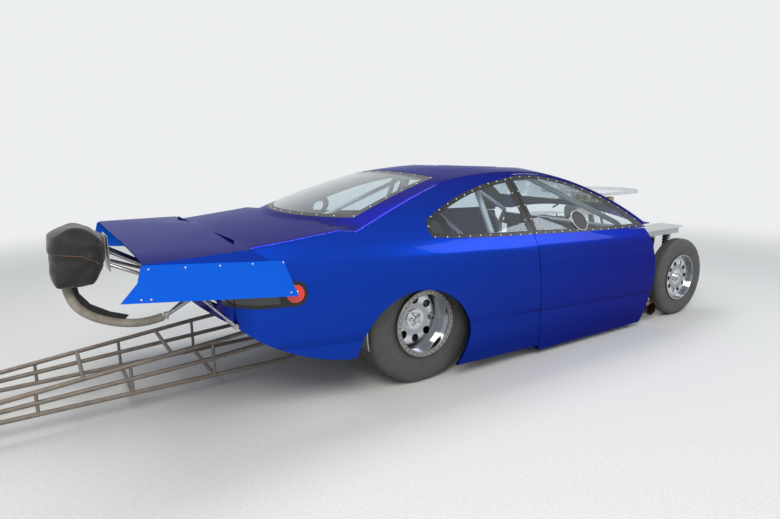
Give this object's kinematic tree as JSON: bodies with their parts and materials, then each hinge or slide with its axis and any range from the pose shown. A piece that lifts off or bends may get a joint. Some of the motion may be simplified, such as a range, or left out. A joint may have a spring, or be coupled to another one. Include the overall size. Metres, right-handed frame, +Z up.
{
  "type": "drag racing car",
  "caption": "Low two-door coupe drag racing car on a tube chassis, parked with its front bodywork off: open engine, steered front wheels, hinged doors, long wheelie bars.",
  "frame": {"origin": "middle of the footprint on the ground", "axes": "+X towards the front of the car, +Y to its left, +Z up"},
  "size_m": [5.779, 1.842, 1.318],
  "materials": {
    "alloy": "cast",
    "bare_metal": "satin",
    "black_cloth": "woven",
    "black_plastic": "satin",
    "blue_paint": "deep metallic",
    "bright_blue_paint": "gloss",
    "brown_steel": "weathered",
    "cage_grey": "satin",
    "cast": "machined",
    "dark_frame": "satin",
    "glass": "clear polycarbonate",
    "polished": "polished",
    "red_lens": "gloss",
    "tan_cloth": "woven",
    "tin": "satin sheet",
    "tyre": "matt"
  },
  "bodies": {
    "chassis": {"body_greenhouse": "blue_paint", "quarter_panel_right": "blue_paint", "quarter_panel_left": "blue_paint", "bumper_cover": "blue_paint", "deck_panel": "blue_paint", "spoiler_deck": "blue_paint", "spoiler_plate_right": "bright_blue_paint", "spoiler_plate_left": "bright_blue_paint", "windshield": "glass", "rear_window": "glass", "quarter_windows": "glass", "tail_lamps": "red_lens", "floor_pan": "tin", "firewall": "tin", "frame_rails": "dark_frame", "roll_cage": "cage_grey", "door_hinges": "bare_metal", "front_frame": "dark_frame", "engine_block": "cast", "cylinder_heads": "alloy", "valve_covers": "alloy", "intake_manifold": "alloy", "carburettors": "alloy", "carb_tray": "tin", "transmission": "alloy", "driveshaft": "bare_metal", "radiator": "black_plastic", "rear_axle_housing": "dark_frame", "wheelie_bars": "brown_steel", "parachute_pack": "black_cloth", "parachute_mount": "bare_metal", "driver_seat": "black_plastic", "steering_column": "black_plastic", "front_struts": "bare_metal", "control_arms": "bare_metal", "headers": "bare_metal", "wheel_tubs": "tin", "rear_suspension": "bare_metal", "fender_trays": "bare_metal", "motor_plates": "bare_metal", "spoiler_struts": "bare_metal", "parachute_tether": "tan_cloth"},
    "steering_rack": {"steering_rack": "bare_metal"},
    "wheelie_wheels": {"wheelie_wheels": "tyre"},
    "door_right": {"door_right": "blue_paint", "door_window_right": "glass"},
    "knuckle_right": {"knuckle_right": "bare_metal"},
    "front_wheel_right": {"front_rim_right": "polished", "front_tyre_right": "tyre"},
    "rear_wheel_right": {"rear_rim_right": "polished", "rear_tyre_right": "tyre"},
    "door_left": {"door_left": "blue_paint", "door_window_left": "glass"},
    "knuckle_left": {"knuckle_left": "bare_metal"},
    "front_wheel_left": {"front_rim_left": "polished", "front_tyre_left": "tyre"},
    "rear_wheel_left": {"rear_rim_left": "polished", "rear_tyre_left": "tyre"}
  },
  "joints": [
    {"name": "steer_right", "type": "hinge", "parent": "chassis", "child": "knuckle_right", "pos_m": [2.397, -0.715, 0.4], "axis": [0, 0, 1], "range_deg": [-18, 18]},
    {"name": "front_wheel_spin_right", "type": "hinge", "parent": "knuckle_right", "child": "front_wheel_right", "pos_m": [2.397, -0.816, 0.33], "axis": [0, 1, 0], "continuous": true},
    {"name": "rear_wheel_spin_right", "type": "hinge", "parent": "chassis", "child": "rear_wheel_right", "pos_m": [-0.27, -0.604, 0.385], "axis": [0, 1, 0], "continuous": true},
    {"name": "door_swing_right", "type": "hinge", "parent": "chassis", "child": "door_right", "pos_m": [1.87, -0.852, 0.4], "axis": [0, 0, 1], "range_deg": [0, 60]},
    {"name": "steer_left", "type": "hinge", "parent": "chassis", "child": "knuckle_left", "pos_m": [2.397, 0.715, 0.4], "axis": [0, 0, 1], "range_deg": [-18, 18]},
    {"name": "front_wheel_spin_left", "type": "hinge", "parent": "knuckle_left", "child": "front_wheel_left", "pos_m": [2.397, 0.816, 0.33], "axis": [0, 1, 0], "continuous": true},
    {"name": "rear_wheel_spin_left", "type": "hinge", "parent": "chassis", "child": "rear_wheel_left", "pos_m": [-0.27, 0.604, 0.385], "axis": [0, 1, 0], "continuous": true},
    {"name": "door_swing_left", "type": "hinge", "parent": "chassis", "child": "door_left", "pos_m": [1.87, 0.852, 0.4], "axis": [0, 0, -1], "range_deg": [0, 60]},
    {"name": "rack_travel", "type": "slide", "parent": "chassis", "child": "steering_rack", "axis": [0, 1, 0], "range_m": [-0.045, 0.045]},
    {"name": "wheelie_wheel_spin", "type": "hinge", "parent": "chassis", "child": "wheelie_wheels", "pos_m": [-2.83, 0, 0.11], "axis": [0, 1, 0], "continuous": true}
  ],
  "couplings": [
    {"joint": "steer_left", "follows": "steer_right", "ratio": 1},
    {"joint": "rack_travel", "follows": "steer_right", "m_per_rad": 0.125},
    {"joint": "rear_wheel_spin_left", "follows": "rear_wheel_spin_right", "ratio": 1}
  ]
}
